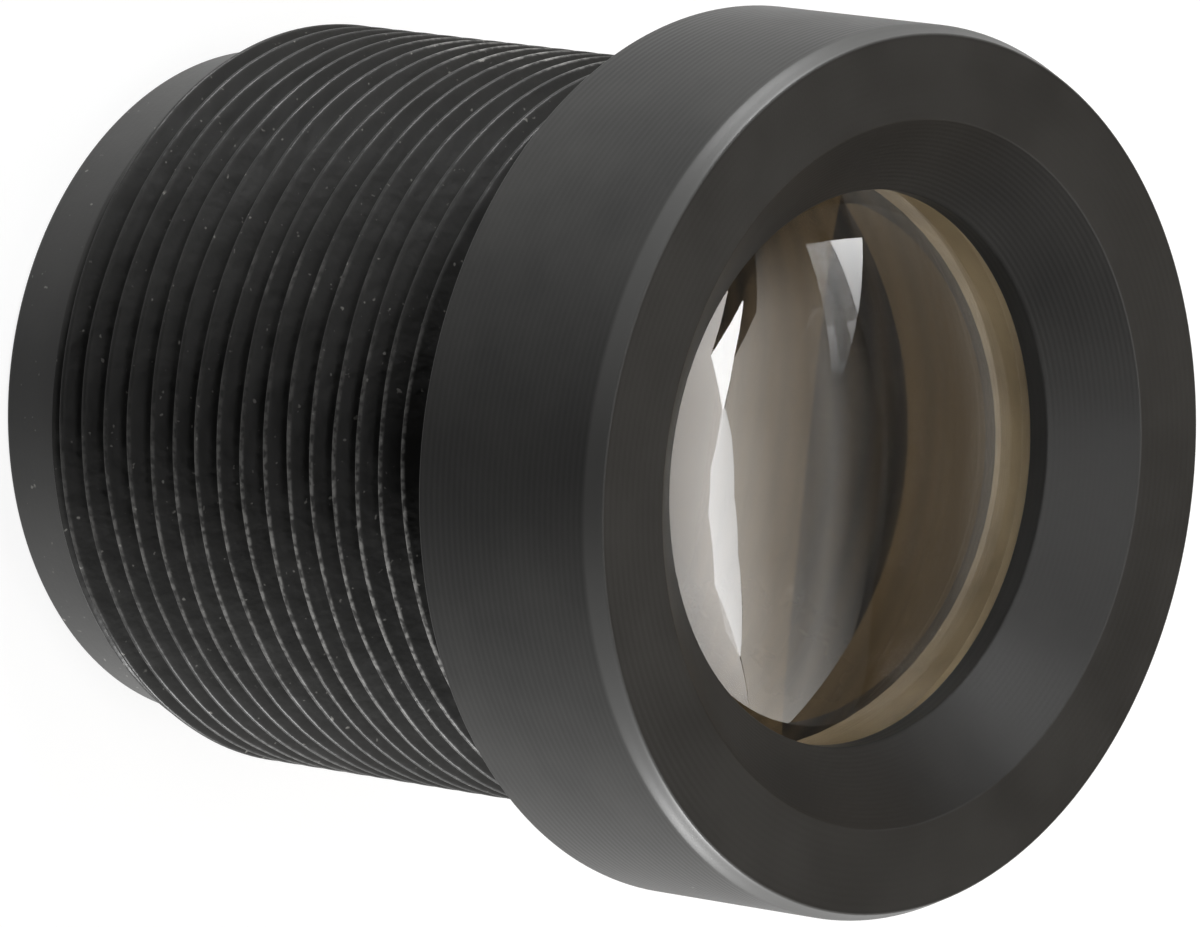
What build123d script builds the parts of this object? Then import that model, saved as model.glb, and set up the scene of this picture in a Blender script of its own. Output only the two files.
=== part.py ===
"""Fixed-focus board camera lens with an M12 x 0.5 mounting thread.

Millimetres. +Z is the optical axis and points to the scene; the origin is the centre of the rear end face.
A turned barrel is loaded from the rear: front element, ring, second element, stop ring, aperture disc, then
a rear cell that carries two elements of its own. A slotted ring in the rear bore clamps the whole stack.
"""

import os
from math import copysign, sqrt

from build123d import *

# Barrel outside
total_length = 14.45
thread_crest_radius = 5.95
thread_lead_in = 0.2
nose_step = 0.55
nose_length = 1.45
nose_edge_break = 0.1
head_overhang = 1.05
head_length = 3.8
head_back_edge_break = 0.12
head_front_bevel_across = 0.13
head_front_bevel_along = 0.3

# Front recess and the lip that holds the front element
recess_width = 1.18
recess_depth = 0.95
lip_width = 0.49
lip_length = 0.36

# Walls round the barrel's bores
nose_wall = 0.4
ring_thread_height = 0.15
ring_thread_run_out = 0.49
ring_bore_lead_in = 0.12

# Running clearances
bore_clearance = 0.02
seat_gap = 0.01

# Front element, a meniscus
front_element_front_curve = 9.5
front_element_rear_curve = 22.0
front_element_thickness = 2.1

# Ring between the front element and the second element
front_ring_length = 0.7
front_ring_width = 0.93
front_ring_taper = 0.35

# Second element, flat in front and concave behind
second_element_thickness = 2.4
second_element_rear_curve = 7.5
second_element_land_width = 1.43

# Stop ring and aperture disc
stop_ring_width = 1.53
stop_ring_length = 0.6
aperture_radius = 2.1
aperture_disc_thickness = 0.12

# Rear cell
cell_wall = 1.23
cell_lip_width = 0.8
cell_lip_length = 0.5
cell_opening_flare = 0.2
cell_rear_edge_break = 0.15

# Elements in the rear cell, with their curved sides facing each other
third_element_curve = 8.0
third_element_thickness = 1.7
cell_air_space = 0.2
rear_element_curve = 9.0
rear_element_thickness = 1.6

# Rings that space and hold the elements in the cell
cell_spacer_width = 0.58
cell_ring_width = 0.48
cell_ring_length = 1.2
cell_ring_slot_width = 0.6
cell_ring_slot_depth = 0.3

# Ring that clamps the stack in the barrel
clamp_ring_length = 1.0
clamp_ring_width = 1.03
clamp_ring_inner_bevel = 0.25
clamp_ring_slot_width = 0.9
clamp_ring_slot_depth = 0.45

slot_count = 2
flat = 0


def sag(curve_radius, radius):
    """Depth of a spherical surface at a radius, measured from its vertex."""
    return curve_radius - sqrt(curve_radius**2 - radius**2)


# Radii, from the outside in
head_radius = thread_crest_radius + head_overhang
nose_radius = thread_crest_radius - nose_step
ring_bore_radius = nose_radius - nose_wall
bore_radius = ring_bore_radius - ring_thread_height
front_opening_radius = bore_radius - lip_width
recess_mouth_radius = front_opening_radius + recess_width
element_radius = bore_radius - bore_clearance
front_ring_inner_radius = element_radius - front_ring_width
second_element_clear_radius = element_radius - second_element_land_width
stop_ring_inner_radius = element_radius - stop_ring_width
cell_bore_radius = element_radius - cell_wall
cell_opening_radius = cell_bore_radius - cell_lip_width
cell_element_radius = cell_bore_radius - bore_clearance
cell_spacer_inner_radius = cell_element_radius - cell_spacer_width
cell_ring_inner_radius = cell_element_radius - cell_ring_width
clamp_ring_radius = ring_bore_radius - bore_clearance
clamp_ring_inner_radius = clamp_ring_radius - clamp_ring_width

# Places along the axis, from the front to the rear
head_back = total_length - head_length
opening_front = total_length - recess_depth
lip_back = opening_front - lip_length
front_vertex = lip_back - seat_gap + sag(front_element_front_curve, front_opening_radius)
front_element_rear = front_vertex - front_element_thickness
front_ring_top = front_element_rear - sag(front_element_rear_curve, element_radius) - seat_gap
front_ring_bottom = front_ring_top - front_ring_length
second_element_front = front_ring_bottom - seat_gap
second_element_rear = second_element_front - second_element_thickness
second_element_land = second_element_rear - sag(second_element_rear_curve, second_element_clear_radius)
stop_ring_top = second_element_land - seat_gap
stop_ring_bottom = stop_ring_top - stop_ring_length
disc_top = stop_ring_bottom - seat_gap
disc_bottom = disc_top - aperture_disc_thickness
cell_top = disc_bottom - seat_gap
cell_seat = cell_top - cell_lip_length
third_element_front = cell_seat - seat_gap
third_element_rear = third_element_front - third_element_thickness
cell_spacer_top = third_element_rear + sag(third_element_curve, cell_spacer_inner_radius) - seat_gap
rear_element_front = third_element_rear - cell_air_space
cell_spacer_bottom = rear_element_front - sag(rear_element_curve, cell_spacer_inner_radius) + seat_gap
rear_element_rear = rear_element_front - rear_element_thickness
cell_ring_top = rear_element_rear - seat_gap
cell_bottom = cell_ring_top - cell_ring_length
clamp_ring_top = cell_bottom - seat_gap
clamp_ring_bottom = clamp_ring_top - clamp_ring_length
ring_bore_end = clamp_ring_top + ring_thread_run_out


def turn(points):
    """Turn a closed outline of (radius, height) points about the optical axis."""
    with BuildPart() as turned:
        with BuildSketch(Plane.XZ):
            with BuildLine():
                Polyline(points, close=True)
            make_face()
        revolve(axis=Axis.Z)
    return turned


def surface_point(vertex, curve, radius):
    """A point of a lens surface. A positive curve has its centre to the rear; a curve of zero is flat."""
    drop = copysign(sag(abs(curve), radius), curve) if curve else 0
    return radius, vertex - drop


def surface_line(vertex, curve, edge_radius):
    """The half outline of a lens surface, from the axis to its edge."""
    centre = surface_point(vertex, curve, 0)
    edge = surface_point(vertex, curve, edge_radius)
    if curve:
        return ThreePointArc(centre, surface_point(vertex, curve, edge_radius / 2), edge)
    return Line(centre, edge)


def ground_lens(front, front_curve, rear, rear_curve, rim, rear_clear=None):
    """Turn a lens from its vertex heights and curves, with a flat land outside the rear clear radius."""
    with BuildPart() as lens:
        with BuildSketch(Plane.XZ):
            with BuildLine():
                front_side = surface_line(front, front_curve, rim)
                rear_side = surface_line(rear, rear_curve, rear_clear or rim)
                rear_height = (rear_side @ 1).Y
                if rear_clear:
                    Line(rear_side @ 1, (rim, rear_height))
                Line((rim, rear_height), front_side @ 1)
                Line(rear_side @ 0, front_side @ 0)
            make_face()
        revolve(axis=Axis.Z)
    return lens


os.makedirs("parts", exist_ok=True)

# Barrel: one turned piece with nose, threaded body, head, countersunk mouth, lip and stepped bore
barrel = turn(
    [
        (ring_bore_radius + ring_bore_lead_in, 0),
        (nose_radius - nose_edge_break, 0),
        (nose_radius, nose_edge_break),
        (nose_radius, nose_length),
        (thread_crest_radius - thread_lead_in, nose_length),
        (thread_crest_radius, nose_length + thread_lead_in),
        (thread_crest_radius, head_back),
        (head_radius - head_back_edge_break, head_back),
        (head_radius, head_back + head_back_edge_break),
        (head_radius, total_length - head_front_bevel_along),
        (head_radius - head_front_bevel_across, total_length),
        (recess_mouth_radius, total_length),
        (front_opening_radius, opening_front),
        (front_opening_radius, lip_back),
        (bore_radius, lip_back),
        (bore_radius, ring_bore_end),
        (ring_bore_radius, ring_bore_end),
        (ring_bore_radius, ring_bore_lead_in),
    ]
)
barrel.part.label = "barrel"
export_step(barrel.part, "parts/barrel.step")

# Front element: the large convex glass seen from the front
front_element = ground_lens(
    front_vertex, front_element_front_curve, front_element_rear, front_element_rear_curve, element_radius
)
front_element.part.label = "front_element"
export_step(front_element.part, "parts/front_element.step")

# Ring between the front element and the second element, opened out towards the front
front_ring = turn(
    [
        (element_radius, front_ring_bottom),
        (element_radius, front_ring_top),
        (front_ring_inner_radius + front_ring_taper, front_ring_top),
        (front_ring_inner_radius, front_ring_bottom),
    ]
)
front_ring.part.label = "front_spacer_ring"
export_step(front_ring.part, "parts/front_spacer_ring.step")

# Second element: concave behind, with a flat land that seats on the stop ring
second_element = ground_lens(
    second_element_front,
    flat,
    second_element_rear,
    second_element_rear_curve,
    element_radius,
    rear_clear=second_element_clear_radius,
)
second_element.part.label = "second_element"
export_step(second_element.part, "parts/second_element.step")

# Stop ring: spaces the aperture disc from the second element
stop_ring = turn(
    [
        (stop_ring_inner_radius, stop_ring_bottom),
        (element_radius, stop_ring_bottom),
        (element_radius, stop_ring_top),
        (stop_ring_inner_radius, stop_ring_top),
    ]
)
stop_ring.part.label = "stop_spacer_ring"
export_step(stop_ring.part, "parts/stop_spacer_ring.step")

# Aperture disc: a thin shim whose hole sets the fixed stop
with BuildPart() as aperture_disc:
    with BuildSketch(Plane.XY.offset(disc_bottom)):
        Circle(element_radius)
        Circle(aperture_radius, mode=Mode.SUBTRACT)
    extrude(amount=aperture_disc_thickness)
aperture_disc.part.label = "aperture_disc"
export_step(aperture_disc.part, "parts/aperture_disc.step")

# Rear cell: a turned sleeve with a lip at its front, open to the rear
rear_cell = turn(
    [
        (cell_bore_radius, cell_bottom),
        (element_radius - cell_rear_edge_break, cell_bottom),
        (element_radius, cell_bottom + cell_rear_edge_break),
        (element_radius, cell_top),
        (cell_opening_radius + cell_opening_flare, cell_top),
        (cell_opening_radius, cell_seat),
        (cell_bore_radius, cell_seat),
    ]
)
rear_cell.part.label = "rear_cell"
export_step(rear_cell.part, "parts/rear_cell.step")

# Third element: seats with its flat front on the cell's lip
third_element = ground_lens(
    third_element_front, flat, third_element_rear, -third_element_curve, cell_element_radius
)
third_element.part.label = "third_element"
export_step(third_element.part, "parts/third_element.step")

# Spacer in the cell, touching both elements at its inner edges
cell_spacer = turn(
    [
        (cell_spacer_inner_radius, cell_spacer_bottom),
        (cell_element_radius, cell_spacer_bottom),
        (cell_element_radius, cell_spacer_top),
        (cell_spacer_inner_radius, cell_spacer_top),
    ]
)
cell_spacer.part.label = "cell_spacer_ring"
export_step(cell_spacer.part, "parts/cell_spacer_ring.step")

# Rear element: the glass seen from the rear, flat on that side
rear_element = ground_lens(
    rear_element_front, rear_element_curve, rear_element_rear, flat, cell_element_radius
)
rear_element.part.label = "rear_element"
export_step(rear_element.part, "parts/rear_element.step")

# Cell ring: screwed in behind the rear element, flush with the cell, with two key slots
with BuildPart() as cell_ring:
    with BuildSketch(Plane.XY.offset(cell_bottom)):
        Circle(cell_element_radius)
        Circle(cell_ring_inner_radius, mode=Mode.SUBTRACT)
    extrude(amount=cell_ring_length)
    with BuildSketch(Plane.XY.offset(cell_bottom)):
        with PolarLocations((cell_ring_inner_radius + cell_element_radius) / 2, slot_count):
            Rectangle(2 * (cell_element_radius - cell_ring_inner_radius), cell_ring_slot_width)
    extrude(amount=cell_ring_slot_depth, mode=Mode.SUBTRACT)
cell_ring.part.label = "cell_retaining_ring"
export_step(cell_ring.part, "parts/cell_retaining_ring.step")

# Clamp ring: screwed into the rear bore, presses the whole stack forward, with two key slots
with BuildPart() as clamp_ring:
    with BuildSketch(Plane.XY.offset(clamp_ring_bottom)):
        Circle(clamp_ring_radius)
        Circle(clamp_ring_inner_radius, mode=Mode.SUBTRACT)
    extrude(amount=clamp_ring_length)
    rear_face = clamp_ring.faces().sort_by(Axis.Z).first
    chamfer(rear_face.edges().sort_by(SortBy.RADIUS).first, length=clamp_ring_inner_bevel)
    with BuildSketch(Plane.XY.offset(clamp_ring_bottom)):
        with PolarLocations((clamp_ring_inner_radius + ring_bore_radius) / 2, slot_count):
            Rectangle(2 * (ring_bore_radius - clamp_ring_inner_radius), clamp_ring_slot_width)
    extrude(amount=clamp_ring_slot_depth, mode=Mode.SUBTRACT)
clamp_ring.part.label = "clamp_ring"
export_step(clamp_ring.part, "parts/clamp_ring.step")
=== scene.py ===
"""Looks of a board camera lens: the frame's pieces, a barrel with its helical thread, glass, light and camera.

Sizes are in millimetres and are scaled to metres by MM. +Z is the optical axis, towards the front glass.
"""

import math

import bpy
import numpy as np
from mathutils import Matrix, Vector


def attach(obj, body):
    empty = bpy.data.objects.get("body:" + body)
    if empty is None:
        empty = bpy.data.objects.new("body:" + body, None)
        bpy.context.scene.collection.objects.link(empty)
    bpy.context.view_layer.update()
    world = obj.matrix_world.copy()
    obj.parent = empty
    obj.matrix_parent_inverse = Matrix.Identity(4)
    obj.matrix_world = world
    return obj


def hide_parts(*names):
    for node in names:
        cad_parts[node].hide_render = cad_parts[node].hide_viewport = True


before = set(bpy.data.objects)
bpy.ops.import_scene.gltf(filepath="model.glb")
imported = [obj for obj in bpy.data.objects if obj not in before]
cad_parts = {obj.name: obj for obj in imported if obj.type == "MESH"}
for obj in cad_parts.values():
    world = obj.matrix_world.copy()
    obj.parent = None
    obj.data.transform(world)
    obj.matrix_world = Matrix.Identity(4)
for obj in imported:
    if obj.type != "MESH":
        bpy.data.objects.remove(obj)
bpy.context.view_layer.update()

MM = 0.001
BODY = "root"

# Barrel outside
TOTAL_LENGTH = 14.45
CREST_RADIUS = 5.95
NOSE_RADIUS = 5.4
NOSE_LENGTH = 1.45
NOSE_EDGE = 0.1
THREAD_FACE_RADIUS = 5.63
HEAD_RADIUS = 7.0
HEAD_BACK = 10.65
HEAD_BACK_RADIUS = 5.97
HEAD_BACK_EDGE = 0.06
FRONT_BEVEL_ACROSS = 0.13
FRONT_BEVEL_ALONG = 0.3

# Barrel inside
MOUTH_RADIUS = 5.54
OPENING_RADIUS = 4.36
OPENING_FRONT = 13.5
LIP_BACK = 13.14
BORE_RADIUS = 4.85
RING_BORE_RADIUS = 5.0
RING_BORE_END = 2.128
REAR_LEAD_IN = 0.12

# Right-hand thread: phase from the crest's middle in pitches, and depth below the crest
PITCH = 0.5
FIRST_CREST = 1.712
LEAD_IN = 0.2
RUN_OUT = 0.3
THREAD_PHASES = [0.0, 0.05, 0.09, 0.13, 0.27, 0.40, 0.45, 0.5]
THREAD_DEPTHS = [0.0, 0.003, 0.022, 0.054, 0.165, 0.268, 0.298, 0.306]
THREAD_ROWS = [-phase for phase in reversed(THREAD_PHASES[1:-1])] + THREAD_PHASES
THREAD_SNAP = 0.012

# How the ridges stray along the axis: depth, waves a turn, slant and start. They are straight at the thread's ends.
STRAYS = [(0.014, 4, 1.9, 0.0), (0.010, 7, -2.7, 1.0), (0.006, 13, 4.1, 2.0)]
STRAY_FADE = 0.6

# Glass pieces: the node and the material, then the rim's radius and the faces' heights and curves. A curve of 0 is
# flat, and one with its centre to the rear is positive. The second glass is hollow out to its rear_clear radius.
ELEMENT_RADIUS = 4.83
CELL_ELEMENT_RADIUS = 3.58
GLASSES = {
    "front_glass": ("front_element", "coated_glass", {
        "rim": ELEMENT_RADIUS, "front": 14.19, "front_curve": 9.5, "rear": 12.09, "rear_curve": 22.0,
    }),
    "second_glass": ("second_element", "second_glass", {
        "rim": ELEMENT_RADIUS, "front": 10.833, "front_curve": 0.0, "rear": 8.433, "rear_curve": 7.5,
        "rear_clear": 3.4,
    }),
    "third_glass": ("third_element", "cell_glass", {
        "rim": CELL_ELEMENT_RADIUS, "front": 6.358, "front_curve": 0.0, "rear": 4.658, "rear_curve": -8.0,
    }),
    "rear_glass": ("rear_element", "cell_glass", {
        "rim": CELL_ELEMENT_RADIUS, "front": 4.458, "front_curve": 9.0, "rear": 2.858, "rear_curve": 0.0,
    }),
}
GLASS_EDGE = 0.04
RIM_DEPTH = 0.03

# Fineness of the meshes
SIDES = 216
GLASS_RINGS = 44
CORNER_BEND = 0.03

# Skin of turned metal. Here and below, scales are per metre and depths in mm. A wave texture of scale 1 goes through
# WAVE_RATE radians in a metre. A range is the part of a noise over which a look changes.
UNEVEN_SCALE = 420.0
UNEVEN_RANGE = (0.3, 0.7)
COLOUR_RANGE = (0.35, 0.72)
GRAIN_SCALE = 22000.0
GRAIN_DEPTH = 0.001
WAVE_RATE = 20

# Metals of the inner pieces. Feed is from mark to mark in mm, and marks is a share of the marks' depth.
INNER_METALS = {
    "inner_black": {
        "dark": (0.018, 0.018, 0.018), "light": (0.028, 0.028, 0.027),
        "roughness": 0.6, "shine": 0.2, "feed": 0.1, "depth": 0.004, "marks": 0.5,
    },
    "satin_ring": {
        "dark": (0.24, 0.185, 0.115), "light": (0.47, 0.375, 0.24),
        "roughness": 0.35, "shine": 0.5, "feed": 0.08, "depth": 0.002, "marks": 1.0,
    },
    "brown_ring": {
        "dark": (0.036, 0.027, 0.0165), "light": (0.056, 0.042, 0.027),
        "roughness": 0.3, "shine": 0.25, "feed": 0.16, "depth": 0.006, "marks": 1.0, "banded": 0.6,
    },
    "blackened_shim": {
        "dark": (0.02, 0.019, 0.018), "light": (0.035, 0.033, 0.03),
        "roughness": 0.5, "shine": 0.3, "feed": 0.3, "depth": 0.001, "marks": 0.5,
    },
    "ground_rim": {
        "dark": (0.08, 0.057, 0.031), "light": (0.12, 0.088, 0.05),
        "roughness": 0.6, "shine": 0.1, "feed": 0.1, "depth": 0.001, "marks": 0.5,
    },
}
PAINTED_NODES = {
    "front_spacer_ring": "satin_ring",
    "stop_spacer_ring": "brown_ring",
    "aperture_disc": "blackened_shim",
    "rear_cell": "inner_black",
    "cell_spacer_ring": "inner_black",
    "cell_retaining_ring": "inner_black",
    "clamp_ring": "inner_black",
}

# The barrel's black anodising. The thread and the head's outside wall have a share of its shine. The feed marks have
# their whole depth on that wall, and a share of it inside the wall and below the head.
BARREL_DARK = (0.0195, 0.0195, 0.019)
BARREL_LIGHT = (0.0275, 0.0273, 0.0262)
BARREL_ROUGHNESS = 0.42
BARREL_SHINE = 0.3
THREAD_SHINE = 0.25
WALL_SHINE = 0.27
BARREL_FEED = 0.12
BARREL_MARKS = 0.0026
INNER_MARKS_SHARE = 0.5
THREAD_MARKS_SHARE = 0.15

# Radii and heights over which the barrel's skin changes from one zone to the next
BELOW_HEAD = (HEAD_BACK + 0.02, HEAD_BACK - 0.02)
ABOVE_NOSE = (NOSE_LENGTH, NOSE_LENGTH + 0.1)
ON_CREST = (CREST_RADIUS - 0.03, CREST_RADIUS - 0.006)
BEVEL_HEIGHT = (TOTAL_LENGTH - 0.34, TOTAL_LENGTH - 0.26)
BEVEL_REACH = (HEAD_RADIUS - 0.17, HEAD_RADIUS - 0.11)
WALL_REACH = (HEAD_RADIUS - 0.2, HEAD_RADIUS - 0.1)
MARKED_REACH = (HEAD_RADIUS - 0.1, HEAD_RADIUS - 0.05)
MARKED_HEIGHT = (HEAD_BACK, HEAD_BACK + 0.1)

# Marks on the barrel: the thread darker in patches, light grit specks, lumps, and lighter crests and bevel.
# The thread is darker in patches, and the nose less so
THREAD_DARKER = (0.012, 0.012, 0.01164)
THREAD_DARKER_SHARES = (0.4, 0.8)
NOSE_DARKER_SHARE = 0.12
GRIT_SCALE = 9000.0
GRIT_RANGE = (0.73, 0.79)
GRIT_SHARE = 0.4
GRIT = (0.22, 0.215, 0.2)
LUMP_SCALE = 1600.0
LUMP_DEPTH = 0.045
# The crests are lighter in worn patches, and most on the side this faces, as a painted highlight for their glints.
PAINTED_GLINT_SIDE = (-0.35, 0.9, 0.15)
PAINTED_GLINT_REACH = (5.7, 7.3)
PAINTED_GLINT_SHARE = 0.75
WORN_PATCH_SCALE = 330.0
WORN_PATCH_STRETCH = (1, 1, 0.3)
WORN_PATCH_RANGE = (0.6, 0.76)
WORN_PATCH_SHARE = 0.5
WEAR_AND_GLINT_GRIT_RANGE = (0.38, 0.6)
WEAR_AND_GLINT_LEAST = 0.1
# Colour of the crests where worn and where painted as a highlight
CREST_WEAR_AND_GLINT = (0.2, 0.197, 0.19)
# The bevel is lighter all round, for rubbing and as a painted highlight
BEVEL_WEAR_AND_HIGHLIGHT = (0.042, 0.042, 0.041)

# Glass materials: tint, rim radius and refractive index. They turn from clear to ground over GROUND_FROM to GROUND_TO,
# which are depths below the rim.
GLASS_LOOKS = {
    "coated_glass": ((1.0, 0.985, 0.955), ELEMENT_RADIUS, 1.85),
    "second_glass": ((1.0, 0.92, 0.76), ELEMENT_RADIUS, 1.52),
    "cell_glass": ((1.0, 0.985, 0.955), CELL_ELEMENT_RADIUS, 1.52),
}
GROUND_FROM = 0.04
GROUND_TO = 0.02
CLEAR_ROUGHNESS = 0.012
GROUND_ROUGHNESS = 0.55
GROUND_COLOUR = (0.25, 0.18, 0.1)
SHADOW_TINT = (0.85, 0.85, 0.83)

# Floor and world; the reach is in metres
FLOOR_REACH = 3.0
FLOOR_COLOUR = (0.2, 0.2, 0.2)
FLOOR_GLOW = 0.87
WORLD_FILL = 0.08

# Camera: its focal length in mm, the directions of the picture's sides, and its place
FOCAL_LENGTH = 450
CAMERA_RIGHT = (0.07080, -0.68108, 0.72878)
CAMERA_UP = (0.99461, -0.00728, -0.10343)
CAMERA_PLACE = (17.462, 173.508, 168.396)

# Overhead cards, seen from the front glass: points are x and y over height, and glows run from point to point.
# Heights are in metres, and the lamps face the height LAMP_AIM on the axis.
CARD_HEIGHT = 0.6
CARD_ORIGIN = 0.014
CARD_PARTS = 8
LAMP_AIM = 0.012
BLADE_TIP = [
    [(0.46, -0.25), (0.28, -0.08), (0.11, -0.11)],
    [(0.46, -0.255), (0.27, -0.17), (0.11, -0.115)],
]
BLADE = [
    [(0.11, -0.11), (-0.07, -0.075), (-0.21, -0.09), (-0.45, -0.19), (-0.64, -0.33), (-0.75, -0.46)],
    [(0.115, -0.12), (0.03, -0.146), (-0.15, -0.178), (-0.34, -0.246), (-0.5, -0.33), (-0.75, -0.465)],
]
LEFT = [
    [
        (0.5, 0.0), (0.3, 0.1), (0.11, 0.1), (-0.07, 0.1),
        (-0.25, 0.06), (-0.5, 0.02), (-0.75, -0.15), (-1.15, -0.42),
    ],
    [
        (0.5, -0.2), (0.28, -0.08), (0.11, -0.11), (-0.07, -0.075),
        (-0.21, -0.09), (-0.45, -0.19), (-0.75, -0.46), (-1.15, -0.82),
    ],
]
LEFT_GLOWS = [
    [2.8, 2.8, 2.8, 2.8, 2.8, 2.8, 2.6, 2.2],
    [4.6, 4.6, 4.6, 4.6, 4.6, 4.6, 4.0, 2.4],
]
MIDDLE_NEAR = [
    (0.75, -0.42), (0.42, -0.3), (0.27, -0.17), (0.115, -0.12), (0.03, -0.146),
    (-0.15, -0.178), (-0.34, -0.246), (-0.75, -0.465), (-1.15, -0.82),
]
MIDDLE_FAR = [
    (0.78, -0.9), (0.42, -0.9), (0.2, -0.93), (0.06, -0.98), (-0.05, -0.98),
    (-0.17, -1.0), (-0.38, -1.04), (-0.84, -1.3), (-1.5, -1.7),
]
MIDDLE_GLOWS = {
    0: [0.1, 1.4, 2.4, 2.8, 2.8, 2.8, 2.8, 2.8, 2.6],
    0.2: [0.1, 0.9, 1.3, 1.35, 1.35, 1.35, 1.35, 1.7, 2.2],
    0.42: [0.1, 0.6, 0.7, 0.7, 0.7, 0.7, 0.8, 1.2, 2.2],
    0.56: [0.1, 0.7, 0.9, 0.9, 0.9, 0.9, 1.0, 1.4, 2.0],
    0.72: [0.1, 0.3, 0.3, 0.25, 0.25, 0.25, 0.4, 1.0, 1.8],
    1: [0.0, 0.0, 0.0, 0.0, 0.0, 0.0, 0.1, 0.4, 1.4],
}
UPPER = [[(0.18, -0.62), (0.18, -0.66)], [(0.7, -0.7), (0.8, -1.25)]]
SIDE = [[(0.85, 0.4), (1.6, 0.4)], [(0.85, -0.15), (1.6, -0.15)]]
FRONT = [[(-0.4, 0.78), (0.5, 0.78)], [(-0.4, 0.48), (0.5, 0.48)]]

# The warm card behind the lens, in metres
BACK_POINTS = [
    (-1.2, -0.75, 0.0), (1.2, -0.75, 0.0), (1.2, -0.75, 0.35), (-1.2, -0.75, 0.35),
    (-0.9, -0.68, 0.55), (0.9, -0.68, 0.55),
]
BACK_FACES = [(0, 1, 2, 3), (3, 2, 5, 4)]
BACK_GLOWS = [0.12, 0.12, 0.26, 0.26, 0.4, 0.4]

# Colours of the lights
WHITE = (1, 1, 1)
WARM = (1, 0.96, 0.92)
WARMER = (1, 0.95, 0.88)
AMBER = (1, 0.72, 0.42)


class Lathe:
    """Collects rings of vertices with their normals, and the faces between them."""

    def __init__(self):
        self.turns = np.arange(SIDES) / SIDES
        self.cosines = np.cos(self.turns * 2 * math.pi)
        self.sines = np.sin(self.turns * 2 * math.pi)
        self.points = []
        self.normals = []
        self.faces = []
        self.count = 0

    def add(self, points, normals):
        """Adds vertices and returns their indices."""
        self.points.append(points)
        self.normals.append(normals)
        first = self.count
        self.count += len(points)
        return np.arange(first, self.count)

    def ring(self, radius, height, normal=(0, 0)):
        """A flat ring; the radius may be one number or one for each side. A normal of zero is worked out later."""
        radii = np.broadcast_to(np.asarray(radius, float), (SIDES,))
        points = np.stack([radii * self.cosines, radii * self.sines, np.full(SIDES, height)], axis=1)
        normals = np.stack([normal[0] * self.cosines, normal[0] * self.sines, np.full(SIDES, normal[1])], axis=1)
        return self.add(points, normals)

    def pole(self, height, upwards):
        """A single vertex on the axis."""
        return self.add(np.array([[0.0, 0.0, height]]), np.array([[0.0, 0.0, upwards]]))

    def join(self, low, high):
        """Faces from one ring, or pole, to the next. The outside is on the right of the way the rings go."""
        for i in range(SIDES):
            following = (i + 1) % SIDES
            if len(low) == 1:
                self.faces.append((low[0], high[following], high[i]))
            elif len(high) == 1:
                self.faces.append((low[i], low[following], high[0]))
            else:
                self.faces.append((low[i], low[following], high[following], high[i]))

    def skin(self, chain):
        """Faces along a chain of rings."""
        for here, there in zip(chain, chain[1:]):
            self.join(here, there)

    def make(self, name):
        """The finished object, smooth, with the normals of turned faces kept exact."""
        points = np.concatenate(self.points) * MM
        normals = np.concatenate(self.normals)
        mesh = bpy.data.meshes.new(name)
        mesh.from_pydata(points.tolist(), [], [tuple(int(i) for i in face) for face in self.faces])
        mesh.update()
        mesh.shade_smooth()
        own = np.array([vertex.normal[:] for vertex in mesh.vertices])
        exact = np.linalg.norm(normals, axis=1) > 0.5
        own[exact] = normals[exact]
        mesh.normals_split_custom_set_from_vertices(own.tolist())
        return place_mesh(name, mesh)


def place_mesh(name, mesh):
    """A new object with a mesh, in the scene."""
    made = bpy.data.objects.new(name, mesh)
    bpy.context.scene.collection.objects.link(made)
    return made


def bent(corners):
    """Points of an outline whose corners are small bends, as (radius, height, normal across, normal along)."""
    corners = [np.array(corner, float) for corner in corners]
    steps = [there - here for here, there in zip(corners, corners[1:])]
    lengths = [np.linalg.norm(step) for step in steps]
    ways = [step / length for step, length in zip(steps, lengths)]
    points = [(corners[0], ways[0])]
    for corner, way_in, way_out, before, after in zip(corners[1:], ways, ways[1:], lengths, lengths[1:]):
        reach = min(CORNER_BEND, before / 3, after / 3)
        for share in (0, 0.5, 1):
            at = corner + (1 - share) ** 2 * -reach * way_in + share**2 * reach * way_out
            points.append((at, (1 - share) * way_in + share * way_out))
    points.append((corners[-1], ways[-1]))
    return [(*at, *np.array([way[1], -way[0]]) / np.linalg.norm(way)) for at, way in points]


def thread_radius(height, turn):
    """Radius of the threaded body in mm at heights and turns."""
    phase = np.abs(((height - FIRST_CREST) / PITCH - turn + 0.5) % 1 - 0.5)
    depth = np.interp(phase, THREAD_PHASES, THREAD_DEPTHS)
    fade = np.clip((HEAD_BACK - height) / RUN_OUT, 0, 1)
    lead_in = CREST_RADIUS - np.clip(LEAD_IN - (height - NOSE_LENGTH), 0, LEAD_IN)
    return np.minimum(CREST_RADIUS - depth * fade * fade * (3 - 2 * fade), lead_in)


def waviness(height, turns):
    """How far the thread's ridges stray along the axis, in mm."""
    ends = np.clip(np.minimum(height - NOSE_LENGTH, HEAD_BACK - height) / STRAY_FADE, 0, 1)
    around = turns * 2 * math.pi
    return ends * sum(depth * np.sin(waves * around + slant * height + start) for depth, waves, slant, start in STRAYS)


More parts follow.
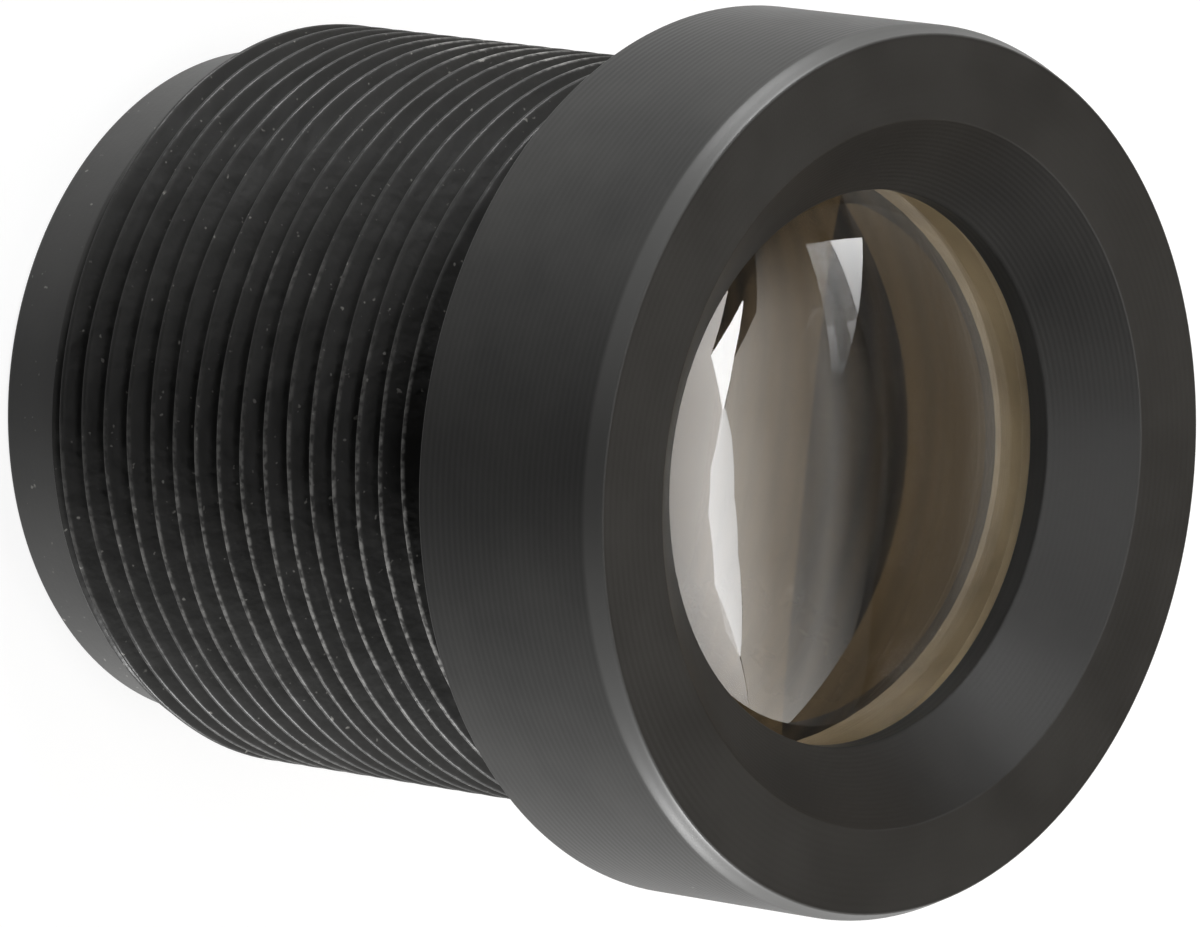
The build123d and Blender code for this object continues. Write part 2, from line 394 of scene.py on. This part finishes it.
def helical_thread(lathe):
    """Adds the thread as rows that climb one pitch a turn, and returns its lowest and highest rings."""
    low = lathe.ring(thread_radius(NOSE_LENGTH, lathe.turns), NOSE_LENGTH)
    high = lathe.ring(CREST_RADIUS, HEAD_BACK)
    first_turn = math.floor((NOSE_LENGTH - FIRST_CREST) / PITCH) - 2
    last_turn = math.ceil((HEAD_BACK - FIRST_CREST) / PITCH) + 1
    rows = []
    for start in [FIRST_CREST + PITCH * (turn + row) for turn in range(first_turn, last_turn) for row in THREAD_ROWS]:
        heights = start + PITCH * lathe.turns
        inside = (heights > NOSE_LENGTH + THREAD_SNAP) & (heights < HEAD_BACK - THREAD_SNAP)
        row = np.where(heights > (NOSE_LENGTH + HEAD_BACK) / 2, high, low)
        if inside.any():
            radii = thread_radius(heights, lathe.turns)[inside]
            wavy = heights + waviness(heights, lathe.turns)
            points = np.stack([radii * lathe.cosines[inside], radii * lathe.sines[inside], wavy[inside]], axis=1)
            row[inside] = lathe.add(points, np.zeros_like(points))
        rows.append(row)
    per_turn = len(THREAD_ROWS)
    ends = [rows[k + per_turn][0] if k + per_turn < len(rows) else high[0] for k in range(len(rows))]
    closed = [[*row, end] for row, end in zip(rows, ends)]
    for lower, upper in zip(closed, closed[1:]):
        for i in range(SIDES):
            corners = list(dict.fromkeys((lower[i], lower[i + 1], upper[i + 1], upper[i])))
            if len(corners) > 2:
                lathe.faces.append(tuple(corners))
    return low, high


def build_barrel():
    """The turned barrel as one closed skin: bores, nose, thread, head, countersunk mouth and lip."""
    bore_middle = (BORE_RADIUS, (RING_BORE_END + LIP_BACK) / 2)
    rear = [
        bore_middle,
        (BORE_RADIUS, RING_BORE_END),
        (RING_BORE_RADIUS, RING_BORE_END),
        (RING_BORE_RADIUS, REAR_LEAD_IN),
        (RING_BORE_RADIUS + REAR_LEAD_IN, 0),
        (NOSE_RADIUS - NOSE_EDGE, 0),
        (NOSE_RADIUS, NOSE_EDGE),
        (NOSE_RADIUS, NOSE_LENGTH),
        (THREAD_FACE_RADIUS, NOSE_LENGTH),
    ]
    front = [
        (HEAD_BACK_RADIUS, HEAD_BACK),
        (HEAD_RADIUS - HEAD_BACK_EDGE, HEAD_BACK),
        (HEAD_RADIUS, HEAD_BACK + HEAD_BACK_EDGE),
        (HEAD_RADIUS, TOTAL_LENGTH - FRONT_BEVEL_ALONG),
        (HEAD_RADIUS - FRONT_BEVEL_ACROSS, TOTAL_LENGTH),
        (MOUTH_RADIUS, TOTAL_LENGTH),
        (OPENING_RADIUS, OPENING_FRONT),
        (OPENING_RADIUS, LIP_BACK),
        (BORE_RADIUS, LIP_BACK),
        bore_middle,
    ]
    lathe = Lathe()
    rear_rings = [lathe.ring(r, z, (a, b)) for r, z, a, b in bent(rear)]
    low, high = helical_thread(lathe)
    front_rings = [lathe.ring(r, z, (a, b)) for r, z, a, b in bent(front)[:-1]]
    lathe.skin([*rear_rings, low])
    lathe.skin([high, *front_rings, rear_rings[0]])
    return lathe.make("threaded_barrel")


def glass_side(vertex, curve, radius):
    """Height and normal of a lens surface at a radius. Curves with their centre to the rear are positive."""
    if not curve:
        return vertex, 0.0, 1.0
    reach = abs(curve)
    drop = math.copysign(reach - math.sqrt(reach**2 - radius**2), curve)
    return vertex - drop, radius / curve, math.sqrt(1 - (radius / reach) ** 2)


def glass_rings(lathe, vertex, curve, radius, outwards, steps):
    """Rings of a lens surface, whose normals face the front (1) or the rear (-1)."""
    rings = []
    for step in steps:
        at = radius * step / GLASS_RINGS
        height, across, along = glass_side(vertex, curve, at)
        rings.append(lathe.ring(at, height, (outwards * across, outwards * along)))
    return rings


def build_glass(name, rim, front, front_curve, rear, rear_curve, rear_clear=None):
    """A lens as one closed skin with true spherical faces and a ground rim."""
    lathe = Lathe()
    clear = rear_clear or rim
    land = glass_side(rear, rear_curve, clear)[0]
    top = glass_side(front, front_curve, rim)[0]
    steps = range(1, GLASS_RINGS + 1)
    chain = [lathe.pole(rear, -1)]
    chain += glass_rings(lathe, rear, rear_curve, clear - GLASS_EDGE, -1, steps)
    if rear_clear:
        chain.append(lathe.ring(clear, land, (0, -1)))
        chain.append(lathe.ring(rim - GLASS_EDGE, land, (0, -1)))
    chain.append(lathe.ring(rim, land + GLASS_EDGE, (1, 0)))
    chain.append(lathe.ring(rim, top - GLASS_EDGE, (1, 0)))
    chain += glass_rings(lathe, front, front_curve, rim - GLASS_EDGE, 1, reversed(steps))
    chain.append(lathe.pole(front, 1))
    lathe.skin(chain)
    return lathe.make(name)


class Graph:
    """A node tree, with short ways to add its usual nodes. A value is a socket, a number or a colour."""

    def __init__(self, tree):
        self.nodes = tree.nodes
        self.links = tree.links

    def put(self, value, socket):
        """Links a value to a socket, or sets the socket to it."""
        if isinstance(value, bpy.types.NodeSocket):
            self.links.new(value, socket)
        elif socket.type == "RGBA":
            socket.default_value = (*value, 1)
        else:
            socket.default_value = value

    def add(self, kind, *values, **settings):
        """A node. Values go to its first sockets, and a setting is one of the node's own or a socket's name."""
        node = self.nodes.new(kind)
        for key, value in settings.items():
            if hasattr(node, key):
                setattr(node, key, value)
            else:
                self.put(value, node.inputs[key.replace("_", " ").title()])
        for value, socket in zip(values, node.inputs):
            self.put(value, socket)
        return node

    def light_path(self, ray):
        """1 for one kind of ray, 0 for the others."""
        return self.add("ShaderNodeLightPath").outputs[ray]

    def maths(self, operation, first, second):
        """A sum, product or other result of two values."""
        return self.add("ShaderNodeMath", first, second, operation=operation).outputs["Value"]

    def times(self, first, second):
        """The product of two values."""
        return self.maths("MULTIPLY", first, second)

    def spread(self, source, low, high, at_low=0.0, at_high=1.0):
        """A value that runs from one number to another as the source goes from low to high."""
        return self.add("ShaderNodeMapRange", source, low, high, at_low, at_high).outputs["Result"]

    def spread_mm(self, source, low, high, at_low=0.0, at_high=1.0):
        """The same for a source that is a length, with its limits in mm."""
        return self.spread(source, low * MM, high * MM, at_low, at_high)

    def noise(self, place, scale, detail, **settings):
        """Noise that strays about 0.5."""
        return self.add("ShaderNodeTexNoise", place, scale=scale, detail=detail, **settings).outputs["Fac"]

    def ramp(self, source, low, high, low_colour, high_colour):
        """A colour that runs from one to another as the source goes from low to high."""
        node = self.add("ShaderNodeValToRGB", source)
        for element, at, colour in zip(node.color_ramp.elements, (low, high), (low_colour, high_colour)):
            element.position = at
            element.color = (*colour, 1)
        return node.outputs["Color"]

    def mix(self, share, first, second, blend="MIX"):
        """A colour that runs from the first to the second as the share goes from 0 to 1."""
        node = self.add("ShaderNodeMix", share, data_type="RGBA", blend_type=blend)
        self.put(first, node.inputs[6])
        self.put(second, node.inputs[7])
        return node.outputs[2]

    def place(self):
        """A point's place in the object's frame, in metres."""
        return self.add("ShaderNodeTexCoord").outputs["Object"]

    def stretch(self, place, by):
        """A place with its three parts multiplied."""
        return self.add("ShaderNodeVectorMath", place, by, operation="MULTIPLY").outputs["Vector"]

    def from_axis(self, place):
        """How far a place is from the optical axis, in metres."""
        return self.add("ShaderNodeVectorMath", self.stretch(place, (1, 1, 0)), operation="LENGTH").outputs["Value"]

    def bump(self, height, depth, strength, under=None):
        """The normal of a skin whose heights are a depth in mm, laid over the normal under it."""
        node = self.add("ShaderNodeBump", strength, depth * MM)
        self.put(height, node.inputs["Height"])
        if under:
            self.put(under, node.inputs["Normal"])
        return node.outputs["Normal"]


class Material(Graph):
    """A node material in the making."""

    def __init__(self, name):
        self.material = bpy.data.materials.new(name)
        self.material.use_nodes = True
        super().__init__(self.material.node_tree)
        self.shader = self.nodes["Principled BSDF"]

    def set(self, **values):
        """Sets or links the shader's sockets."""
        for key, value in values.items():
            self.put(value, self.shader.inputs[key.replace("_", " ").title().replace("Ior", "IOR")])

    def surface(self, output):
        """Makes an output the material's surface."""
        self.put(output, self.nodes["Material Output"].inputs["Surface"])


class Metal(Material):
    """Turned metal: uneven colour and gloss, feed marks round the axis and a grainy skin."""

    def __init__(self, name, dark, light, roughness, feed):
        super().__init__(name)
        self.at = self.place()
        self.reach = self.from_axis(self.at)
        self.height = self.add("ShaderNodeSeparateXYZ", self.at).outputs["Z"]
        self.uneven = self.noise(self.at, UNEVEN_SCALE, 6.0, roughness=0.6)
        self.colour = self.ramp(self.uneven, *COLOUR_RANGE, dark, light)
        self.set(roughness=self.spread(self.uneven, *UNEVEN_RANGE, roughness - 0.05, roughness + 0.06))
        outline = self.add("ShaderNodeCombineXYZ", z=self.maths("ADD", self.reach, self.height))
        self.marks = self.add(
            "ShaderNodeTexWave", outline.outputs["Vector"], wave_type="BANDS", bands_direction="Z",
            scale=2 * math.pi / (WAVE_RATE * feed * MM), distortion=0.5, detail=2.0, detail_scale=0.4,
        ).outputs["Fac"]

    def finish(self, shine, depth, strength):
        """Sets the colour and the shine, and returns the normal of the feed marks and the grain."""
        self.set(base_color=self.colour, specular_ior_level=shine)
        turned = self.bump(self.marks, depth, strength)
        return self.bump(self.noise(self.at, GRAIN_SCALE, 3.0), GRAIN_DEPTH, 1.0, turned)


def inner_metal(name, dark, light, roughness, shine, feed, depth, marks, banded=0.0):
    """The metal of an inner piece, whose feed marks may also be light and dark bands."""
    look = Metal(name, dark, light, roughness, feed)
    if banded:
        bands = look.spread(look.marks, 0.0, 1.0, 1.0 - banded, 1.0 + banded)
        look.colour = look.mix(1.0, look.colour, bands, "MULTIPLY")
    look.set(normal=look.finish(shine, depth, marks))
    return look.material


def crest_wear_and_glint(look, grit):
    """Crests made lighter: most on one side, a painted highlight, and in worn patches elsewhere, broken up by grit."""
    side = look.add("ShaderNodeVectorMath", look.at, PAINTED_GLINT_SIDE, operation="DOT_PRODUCT").outputs["Value"]
    painted_glint = look.spread_mm(side, *PAINTED_GLINT_REACH, 0.0, PAINTED_GLINT_SHARE)
    patches = look.noise(look.stretch(look.at, WORN_PATCH_STRETCH), WORN_PATCH_SCALE, 1.0)
    lighter_share = look.maths("MAXIMUM", painted_glint, look.spread(patches, *WORN_PATCH_RANGE, 0.0, WORN_PATCH_SHARE))
    return look.times(lighter_share, look.spread(grit, *WEAR_AND_GLINT_GRIT_RANGE, WEAR_AND_GLINT_LEAST, 1.0))


def barrel_metal():
    """Black anodising: a darker, lumpy thread; crests and bevel rubbed and with painted highlights; feed marks on the
    head.
    """
    look = Metal("black_anodised", BARREL_DARK, BARREL_LIGHT, BARREL_ROUGHNESS, BARREL_FEED)
    below_head = look.spread_mm(look.height, *BELOW_HEAD)
    above_nose = look.spread_mm(look.height, *ABOVE_NOSE, NOSE_DARKER_SHARE, 1.0)
    threaded = look.times(below_head, above_nose)
    grit = look.noise(look.at, GRIT_SCALE, 1.0)

    darker_patches = look.times(threaded, look.spread(look.uneven, *UNEVEN_RANGE, *THREAD_DARKER_SHARES))
    specks = look.times(below_head, look.spread(grit, *GRIT_RANGE, 0.0, GRIT_SHARE))
    crest = look.times(below_head, look.spread_mm(look.reach, *ON_CREST))
    bevel = look.times(look.spread_mm(look.height, *BEVEL_HEIGHT), look.spread_mm(look.reach, *BEVEL_REACH))
    # Darker thread, grit specks, crests worn and with painted glints, bevel rubbed and with a painted highlight
    for share, colour in (
        (darker_patches, THREAD_DARKER),
        (specks, GRIT),
        (look.times(crest, crest_wear_and_glint(look, grit)), CREST_WEAR_AND_GLINT),
        (bevel, BEVEL_WEAR_AND_HIGHLIGHT),
    ):
        look.colour = look.mix(share, look.colour, colour)

    wall = look.spread_mm(look.reach, *WALL_REACH, 1.0, WALL_SHINE)
    shine = look.times(wall, look.spread(threaded, 0.0, 0.4, BARREL_SHINE, BARREL_SHINE * THREAD_SHINE))
    strength = look.times(
        look.spread_mm(look.reach, *MARKED_REACH, INNER_MARKS_SHARE, 1.0),
        look.spread_mm(look.height, *MARKED_HEIGHT, THREAD_MARKS_SHARE, 1.0),
    )
    skin = look.finish(shine, BARREL_MARKS, strength)
    look.set(normal=look.bump(look.noise(look.at, LUMP_SCALE, 3.0), LUMP_DEPTH, threaded, skin))
    return look.material


def glass(name, tint, rim, bending):
    """Lens glass with a tint, a brown rim that is ground rough, and a pale shadow."""
    look = Material(name)
    reach = look.from_axis(look.place())
    limits = (rim - GROUND_FROM, rim - GROUND_TO)
    look.set(
        ior=bending,
        transmission_weight=1.0,
        roughness=look.spread_mm(reach, *limits, CLEAR_ROUGHNESS, GROUND_ROUGHNESS),
        base_color=look.mix(look.spread_mm(reach, *limits), tint, GROUND_COLOUR),
    )
    clear = look.add("ShaderNodeBsdfTransparent", SHADOW_TINT).outputs["BSDF"]
    both = look.add("ShaderNodeMixShader", look.light_path("Is Shadow Ray"), look.shader.outputs["BSDF"], clear)
    look.surface(both.outputs["Shader"])
    return look.material


def paint(piece, material):
    """Gives a piece its one material."""
    piece.data.materials.clear()
    piece.data.materials.append(material)


def paint_rim(piece, material, radius):
    """Gives the faces round a piece's outside a material of their own."""
    piece.data.materials.append(material)
    for face in piece.data.polygons:
        if Vector(face.center[:2]).length > (radius - RIM_DEPTH) * MM:
            face.material_index = 1


def build_floor():
    """A wide pale floor that takes the soft shadow, and glows to the eye, in reflections and through glass."""
    corners = [(-FLOOR_REACH, -FLOOR_REACH, 0), (FLOOR_REACH, -FLOOR_REACH, 0)]
    corners += [(FLOOR_REACH, FLOOR_REACH, 0), (-FLOOR_REACH, FLOOR_REACH, 0)]
    mesh = bpy.data.meshes.new("floor")
    mesh.from_pydata(corners, [], [(0, 1, 2, 3)])
    floor = place_mesh("floor", mesh)
    look = Material("pale_floor")
    look.nodes.remove(look.shader)
    seen = look.maths("MAXIMUM", look.light_path("Is Camera Ray"), look.light_path("Is Glossy Ray"))
    seen = look.maths("MAXIMUM", seen, look.light_path("Is Transmission Ray"))
    glow = look.add("ShaderNodeEmission", WHITE, look.spread(seen, 0.0, 1.0, 0.0, FLOOR_GLOW))
    cover = look.add("ShaderNodeBsdfDiffuse", FLOOR_COLOUR)
    both = look.add("ShaderNodeAddShader", cover.outputs["BSDF"], glow.outputs["Emission"])
    look.surface(both.outputs["Shader"])
    paint(floor, look.material)


def build_world():
    """A plain dim fill from all round, white to the eye."""
    world = bpy.data.worlds.new("studio")
    world.use_nodes = True
    bpy.context.scene.world = world
    graph = Graph(world.node_tree)
    background = graph.nodes["Background"]
    graph.put(WHITE, background.inputs["Color"])
    graph.put(graph.spread(graph.light_path("Is Camera Ray"), 0.0, 1.0, WORLD_FILL, 1.0), background.inputs["Strength"])


def softbox(name, direction, distance, width, height, radiance, across=(1, 0, 0)):
    """A rectangular lamp that faces the lens. Across is the direction of its width; sizes are in metres."""
    lamp = bpy.data.lights.new(name, "AREA")
    lamp.shape = "RECTANGLE"
    lamp.size = width
    lamp.size_y = height
    lamp.energy = radiance * math.pi * width * height
    away = Vector(direction).normalized()
    side = (Vector(across) - Vector(across).dot(away) * away).normalized()
    turned = Matrix([side, away.cross(side), away]).transposed().to_4x4()
    turned.translation = Vector((0, 0, LAMP_AIM)) + away * distance
    light = bpy.data.objects.new(name, lamp)
    light.matrix_world = turned
    bpy.context.scene.collection.objects.link(light)


def lit_card(name, points, faces, glows, colour):
    """A mesh that gives off light, with its strength at each point. The points hold roots, so that it fades softly."""
    mesh = bpy.data.meshes.new(name)
    mesh.from_pydata(points, [], faces)
    mesh.attributes.new("glow", "FLOAT", "POINT").data.foreach_set("value", [math.sqrt(glow) for glow in glows])
    card = place_mesh(name, mesh)
    look = Material(name)
    look.nodes.remove(look.shader)
    root = look.add("ShaderNodeAttribute", attribute_name="glow").outputs["Fac"]
    look.surface(look.add("ShaderNodeEmission", colour, look.times(root, root)).outputs["Emission"])
    paint(card, look.material)


def overhead_card(name, edges, glows, colour=WHITE):
    """A lit card high above the lens, through edges given as slopes, with one glow an edge or one a point."""
    count = len(edges[0])
    top = CARD_HEIGHT + CARD_ORIGIN
    lines = [np.array([(x * CARD_HEIGHT, y * CARD_HEIGHT, top) for x, y in edge]) for edge in edges]
    lights = [np.broadcast_to(np.array(glow, float), (count,)) for glow in glows]
    points = [lines[0]]
    strengths = [lights[0]]
    for line, light, next_line, next_light in zip(lines, lights, lines[1:], lights[1:]):
        for step in range(1, CARD_PARTS + 1):
            points.append(line + (next_line - line) * step / CARD_PARTS)
            strengths.append(light + (next_light - light) * step / CARD_PARTS)
    faces = [
        (row * count + i, row * count + i + 1, (row + 1) * count + i + 1, (row + 1) * count + i)
        for row in range(len(points) - 1)
        for i in range(count - 1)
    ]
    lit_card(name, np.concatenate(points).tolist(), faces, np.concatenate(strengths).tolist(), colour)


def between(near, far, share):
    """An edge at a share of the way from one edge to another."""
    return [(x + (u - x) * share, y + (v - y) * share) for (x, y), (u, v) in zip(near, far)]


def build_lights():
    """Cards overhead for the front glass and the head's front, and long thin lamps for the barrel's sides."""
    overhead_card("blade_upper", BLADE_TIP, [10.5, 10.0])
    overhead_card("blade_lower", BLADE, [7.6, 5.6])
    overhead_card("left_card", LEFT, LEFT_GLOWS, WARM)
    middle = [between(MIDDLE_NEAR, MIDDLE_FAR, share) for share in MIDDLE_GLOWS]
    overhead_card("middle_card", middle, list(MIDDLE_GLOWS.values()), WARMER)
    overhead_card("upper_card", UPPER, [0.5, 6.0])
    lit_card("back_card", BACK_POINTS, BACK_FACES, BACK_GLOWS, AMBER)
    overhead_card("side_card", SIDE, [9.5, 9.5])
    overhead_card("front_card", FRONT, [5, 5])
    strip = {"distance": 0.7, "width": 0.22, "height": 0.012, "across": (0, 1, 0)}
    softbox("upper_panel", (1, -0.02, -0.008), radiance=1500, **strip)
    softbox("lower_panel", (-1, -0.02, -0.008), radiance=2050, **strip)
    softbox("near_panel", (-0.3, 0.95, 0.04), radiance=5, distance=0.6, width=0.3, height=0.03)


def build_camera():
    """The photograph's long-lens view, from the front right of the lens, rolled so that +X is up."""
    camera = bpy.data.cameras.new("camera")
    camera.sensor_width = 36
    camera.lens = FOCAL_LENGTH
    camera.clip_start = 0.01
    camera.clip_end = 10
    right, up = Vector(CAMERA_RIGHT), Vector(CAMERA_UP)
    placed = Matrix([right, up, right.cross(up)]).transposed().to_4x4()
    placed.translation = Vector(CAMERA_PLACE) * MM
    eye = bpy.data.objects.new("camera", camera)
    eye.matrix_world = placed
    bpy.context.scene.collection.objects.link(eye)
    bpy.context.scene.camera = eye


build_camera()

anodised = barrel_metal()
metals = {name: inner_metal(name, **values) for name, values in INNER_METALS.items()}
glasses = {name: glass(name, *values) for name, values in GLASS_LOOKS.items()}

barrel = build_barrel()
paint(barrel, anodised)
made = [(barrel, "barrel", "black_anodised")]
for name, (node, look, shape) in GLASSES.items():
    piece = build_glass(name, **shape)
    paint(piece, glasses[look])
    if node == "second_element":
        paint_rim(piece, metals["ground_rim"], shape["rim"])
    made.append((piece, node, "coated_glass"))
for piece, node, slot in made:
    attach(piece, BODY)
    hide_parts(node)

for node, look in PAINTED_NODES.items():
    paint(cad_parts[node], metals[look])

build_floor()
build_world()
build_lights()

bpy.context.scene.view_settings.view_transform = "Standard"
